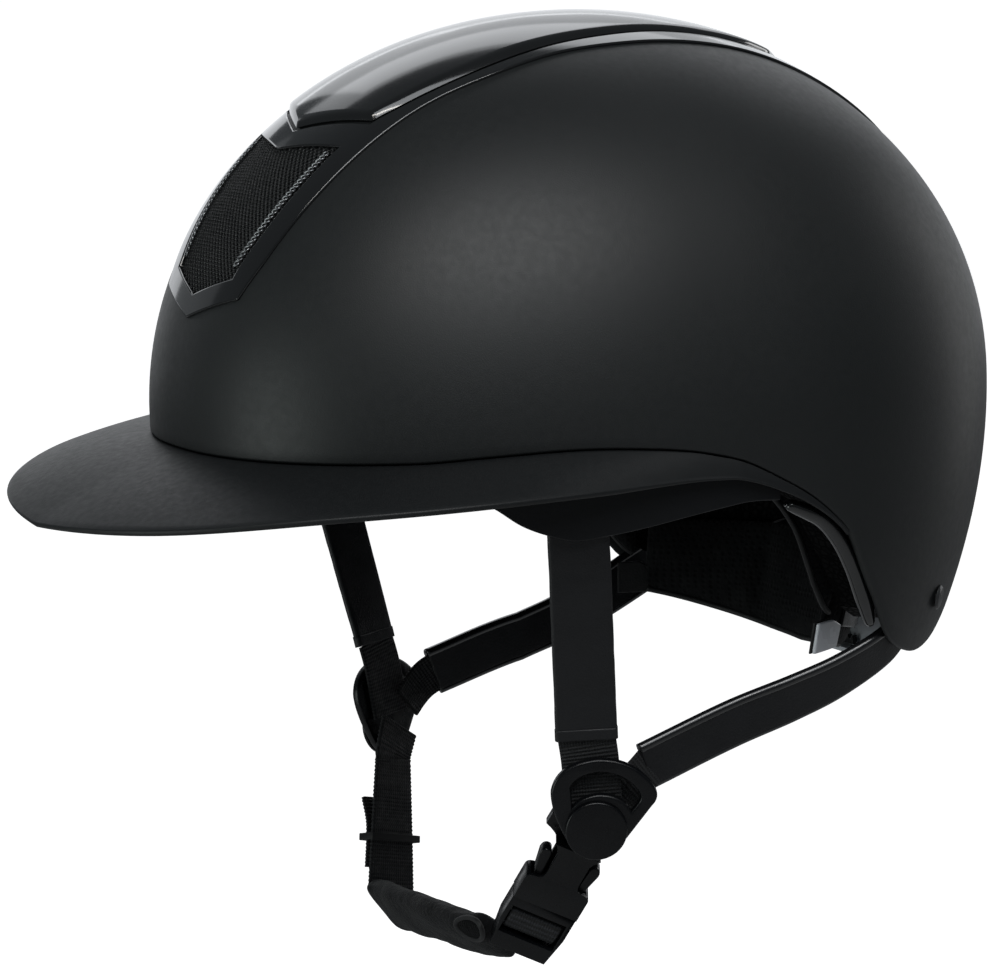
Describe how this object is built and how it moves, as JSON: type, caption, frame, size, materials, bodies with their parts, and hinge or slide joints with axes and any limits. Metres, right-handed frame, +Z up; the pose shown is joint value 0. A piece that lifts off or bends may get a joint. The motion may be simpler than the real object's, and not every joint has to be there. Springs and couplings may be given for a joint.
{
  "type": "equestrian riding helmet",
  "caption": "Wide-peak riding helmet with gloss crown insert and vent mesh, padded foam liner, four-point harness, quick-release buckle, chin pad and rear dial cradle",
  "frame": {"origin": "middle of the head opening, on the head's vertical axis, at the height where the crown is widest", "axes": "+Z up to the crown, -Y to the front (peak), +X to the wearer's left"},
  "size_m": [0.2248, 0.3242, 0.3051],
  "materials": {
    "shell_matte": "satin-matte dark charcoal paint on the moulded shell",
    "visor_matte": "matte dark charcoal, fine grained",
    "gloss_black": "polished piano black",
    "vent_mesh": "black perforated mesh",
    "foam_liner": "black expanded polystyrene foam",
    "lining_fabric": "black mesh-knit padding",
    "leatherette": "matte black leather look",
    "webbing": "black ribbed webbing",
    "chin_fleece": "black soft brushed cover",
    "black_plastic": "black moulded nylon, slight sheen",
    "grey_plastic": "pale grey slightly translucent",
    "rivet_metal": "dark lacquered metal",
    "keeper_rubber": "black rubber"
  },
  "bodies": {
    "helmet": {"outer_shell": "shell_matte", "visor": "visor_matte", "vent_frame": "gloss_black", "vent_mesh": "vent_mesh", "crown_panel": "gloss_black", "rear_vent_mesh": "vent_mesh", "eps_liner": "foam_liner", "headband_pad": "lining_fabric", "rear_quarter_pad_left": "lining_fabric", "rear_quarter_pad_right": "lining_fabric", "crown_pad": "lining_fabric", "temple_flap_left": "visor_matte", "temple_flap_right": "visor_matte", "ear_trim_left": "gloss_black", "ear_trim_right": "gloss_black", "front_sleeve_left": "leatherette", "front_sleeve_right": "leatherette", "front_webbing_left": "webbing", "front_webbing_right": "webbing", "rear_sleeve_left": "leatherette", "rear_sleeve_right": "leatherette", "rear_webbing_left": "webbing", "rear_webbing_right": "webbing", "divider_left": "black_plastic", "divider_right": "black_plastic", "divider_disc_left": "black_plastic", "divider_disc_right": "black_plastic", "front_anchor_left": "black_plastic", "front_anchor_right": "black_plastic", "rivet_left": "rivet_metal", "rivet_right": "rivet_metal", "buckle_socket": "black_plastic", "divider_webbing": "webbing", "cradle_clip_left": "grey_plastic", "cradle_clip_right": "grey_plastic"},
    "chin_strap": {"buckle_plug": "black_plastic", "ladder_webbing": "webbing", "chin_webbing_near": "webbing", "chin_pad": "chin_fleece", "chin_webbing_far": "webbing", "strap_tail": "webbing"},
    "prong_front": {"buckle_prong_front": "black_plastic"},
    "prong_rear": {"buckle_prong_rear": "black_plastic"},
    "keeper": {"keeper": "keeper_rubber"},
    "fit_cradle": {"nape_cradle": "black_plastic", "nape_pad": "lining_fabric", "adjuster_housing": "grey_plastic"},
    "dial": {"dial_knob": "grey_plastic", "dial_pinion": "black_plastic"},
    "rack_left": {"rack_left": "black_plastic"},
    "rack_right": {"rack_right": "black_plastic"}
  },
  "joints": [
    {"name": "buckle_release", "type": "slide", "parent": "helmet", "child": "chin_strap", "axis": [-0.4887, -0.2776, -0.8271], "range_m": [0, 0.022]},
    {"name": "prong_front_press", "type": "hinge", "parent": "chin_strap", "child": "prong_front", "pos_m": [0.04911, -0.04627, -0.15118], "axis": [-0.8277, 0.4473, 0.3389], "range_deg": [0, 12.2]},
    {"name": "prong_rear_press", "type": "hinge", "parent": "chin_strap", "child": "prong_rear", "pos_m": [0.05275, -0.03505, -0.1571], "axis": [0.8277, -0.4473, -0.3389], "range_deg": [0, 12.2]},
    {"name": "keeper_slide", "type": "slide", "parent": "chin_strap", "child": "keeper", "axis": [-0.2685, 0.1922, 0.9439], "range_m": [-0.004, 0.0045]},
    {"name": "fit_slide", "type": "slide", "parent": "helmet", "child": "fit_cradle", "axis": [0, -1, 0], "range_m": [0, 0.012]},
    {"name": "dial_turn", "type": "hinge", "parent": "fit_cradle", "child": "dial", "pos_m": [0, 0.105, -0.088], "axis": [0, 1, 0], "range_deg": [0, 118]},
    {"name": "rack_left_slide", "type": "slide", "parent": "fit_cradle", "child": "rack_left", "axis": [-1, 0, 0], "range_m": [0, 0.0091]},
    {"name": "rack_right_slide", "type": "slide", "parent": "fit_cradle", "child": "rack_right", "axis": [1, 0, 0], "range_m": [0, 0.0091]}
  ],
  "couplings": [
    {"joint": "prong_front_press", "follows": "buckle_release", "rad_per_m": 9.6},
    {"joint": "prong_rear_press", "follows": "buckle_release", "rad_per_m": 9.6},
    {"joint": "dial_turn", "follows": "fit_slide", "rad_per_m": 170},
    {"joint": "rack_left_slide", "follows": "fit_slide", "ratio": 0.75},
    {"joint": "rack_right_slide", "follows": "fit_slide", "ratio": 0.75}
  ]
}
